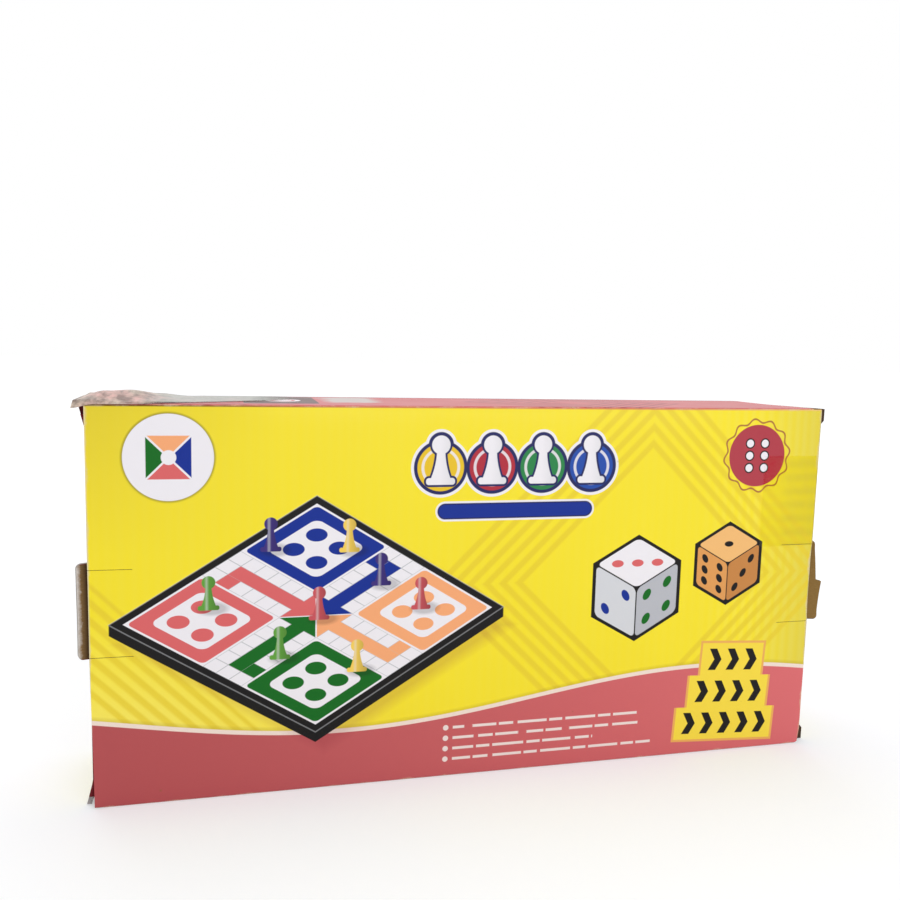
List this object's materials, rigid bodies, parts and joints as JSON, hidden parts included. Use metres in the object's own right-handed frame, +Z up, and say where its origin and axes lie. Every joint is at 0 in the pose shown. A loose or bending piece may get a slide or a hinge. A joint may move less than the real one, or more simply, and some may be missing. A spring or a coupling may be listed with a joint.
{
  "type": "folding ludo board box",
  "caption": "Upright printed carton with hinged tuck ends, holding a folding magnetic ludo board case with its tray of pawns and die.",
  "frame": {"origin": "middle of the underside of the carton as it stands on its long narrow side", "axes": "+X along the length, to the right as one faces the printed front; the front faces -Y; +Z up"},
  "size_m": [0.2706, 0.045, 0.1325],
  "materials": {
    "printed_front": "gloss litho print on E-flute board",
    "printed_back": "gloss litho print on E-flute board",
    "printed_side": "gloss litho print on E-flute board",
    "kraft_board": "bare kraft, matt",
    "black_plastic": "moulded, half gloss",
    "steel_sheet": "tinplate sheet",
    "hinge_steel": "drawn wire",
    "play_print": "laminated print",
    "white_plastic": "vacuum formed, satin",
    "die_plastic": "polished",
    "red_plastic": "moulded, gloss",
    "yellow_plastic": "moulded, gloss",
    "green_plastic": "moulded, gloss",
    "blue_plastic": "moulded, gloss",
    "ferrite": "sintered magnet",
    "leaflet_paper": "uncoated, folded"
  },
  "bodies": {
    "carton": {"back_panel": "printed_back", "blue_pawn_1": "blue_plastic", "blue_pawn_1_magnet": "ferrite", "blue_pawn_2": "blue_plastic", "blue_pawn_2_magnet": "ferrite", "blue_pawn_3": "blue_plastic", "blue_pawn_3_magnet": "ferrite", "blue_pawn_4": "blue_plastic", "blue_pawn_4_magnet": "ferrite", "bottom_panel": "printed_side", "case_back_half": "black_plastic", "case_front_half": "black_plastic", "catch_magnet_back": "ferrite", "catch_magnet_front": "ferrite", "die": "die_plastic", "front_panel": "printed_front", "glue_flap": "kraft_board", "green_pawn_1": "green_plastic", "green_pawn_1_magnet": "ferrite", "green_pawn_2": "green_plastic", "green_pawn_2_magnet": "ferrite", "green_pawn_3": "green_plastic", "green_pawn_3_magnet": "ferrite", "green_pawn_4": "green_plastic", "green_pawn_4_magnet": "ferrite", "hinge_pin_left": "hinge_steel", "hinge_pin_right": "hinge_steel", "leaflet": "leaflet_paper", "pawn_tray": "white_plastic", "play_sheet_back": "play_print", "play_sheet_front": "play_print", "red_pawn_1": "red_plastic", "red_pawn_1_magnet": "ferrite", "red_pawn_2": "red_plastic", "red_pawn_2_magnet": "ferrite", "red_pawn_3": "red_plastic", "red_pawn_3_magnet": "ferrite", "red_pawn_4": "red_plastic", "red_pawn_4_magnet": "ferrite", "steel_sheet_back": "steel_sheet", "steel_sheet_front": "steel_sheet", "top_panel": "printed_side", "yellow_pawn_1": "yellow_plastic", "yellow_pawn_1_magnet": "ferrite", "yellow_pawn_2": "yellow_plastic", "yellow_pawn_2_magnet": "ferrite", "yellow_pawn_3": "yellow_plastic", "yellow_pawn_3_magnet": "ferrite", "yellow_pawn_4": "yellow_plastic", "yellow_pawn_4_magnet": "ferrite"},
    "left_flap": {"left_end_flap": "printed_side"},
    "left_tongue": {"left_tuck_tongue": "kraft_board"},
    "left_upper_dust": {"left_top_dust_flap": "printed_side"},
    "left_lower_dust": {"left_bottom_dust_flap": "printed_side"},
    "right_flap": {"right_end_flap": "printed_side"},
    "right_tongue": {"right_tuck_tongue": "kraft_board"},
    "right_upper_dust": {"right_top_dust_flap": "printed_side"},
    "right_lower_dust": {"right_bottom_dust_flap": "printed_side"}
  },
  "joints": [
    {"name": "left_flap_hinge", "type": "hinge", "parent": "carton", "child": "left_flap", "pos_m": [-0.13025, 0.02175, 0.06625], "axis": [0, 0, -1], "range_deg": [0, 180]},
    {"name": "left_tongue_crease", "type": "hinge", "parent": "left_flap", "child": "left_tongue", "pos_m": [-0.13025, -0.01995, 0.06625], "axis": [0, 0, -1], "range_deg": [0, 54]},
    {"name": "left_upper_dust_crease", "type": "hinge", "parent": "carton", "child": "left_upper_dust", "pos_m": [-0.12845, 0, 0.13175], "axis": [0, 1, 0], "range_deg": [0, 90]},
    {"name": "left_lower_dust_crease", "type": "hinge", "parent": "carton", "child": "left_lower_dust", "pos_m": [-0.12845, 0, 0.00075], "axis": [0, -1, 0], "range_deg": [0, 90]},
    {"name": "right_flap_hinge", "type": "hinge", "parent": "carton", "child": "right_flap", "pos_m": [0.13025, 0.02175, 0.06625], "axis": [0, 0, 1], "range_deg": [0, 180]},
    {"name": "right_tongue_crease", "type": "hinge", "parent": "right_flap", "child": "right_tongue", "pos_m": [0.13025, -0.01995, 0.06625], "axis": [0, 0, 1], "range_deg": [0, 54]},
    {"name": "right_upper_dust_crease", "type": "hinge", "parent": "carton", "child": "right_upper_dust", "pos_m": [0.12845, 0, 0.13175], "axis": [0, -1, 0], "range_deg": [0, 90]},
    {"name": "right_lower_dust_crease", "type": "hinge", "parent": "carton", "child": "right_lower_dust", "pos_m": [0.12845, 0, 0.00075], "axis": [0, 1, 0], "range_deg": [0, 90]}
  ],
  "couplings": [
    {"joint": "left_tongue_crease", "follows": "left_flap_hinge", "ratio": 0.3},
    {"joint": "left_upper_dust_crease", "follows": "left_flap_hinge", "ratio": 0.5},
    {"joint": "left_lower_dust_crease", "follows": "left_flap_hinge", "ratio": 0.5},
    {"joint": "right_tongue_crease", "follows": "right_flap_hinge", "ratio": 0.3},
    {"joint": "right_upper_dust_crease", "follows": "right_flap_hinge", "ratio": 0.5},
    {"joint": "right_lower_dust_crease", "follows": "right_flap_hinge", "ratio": 0.5}
  ]
}
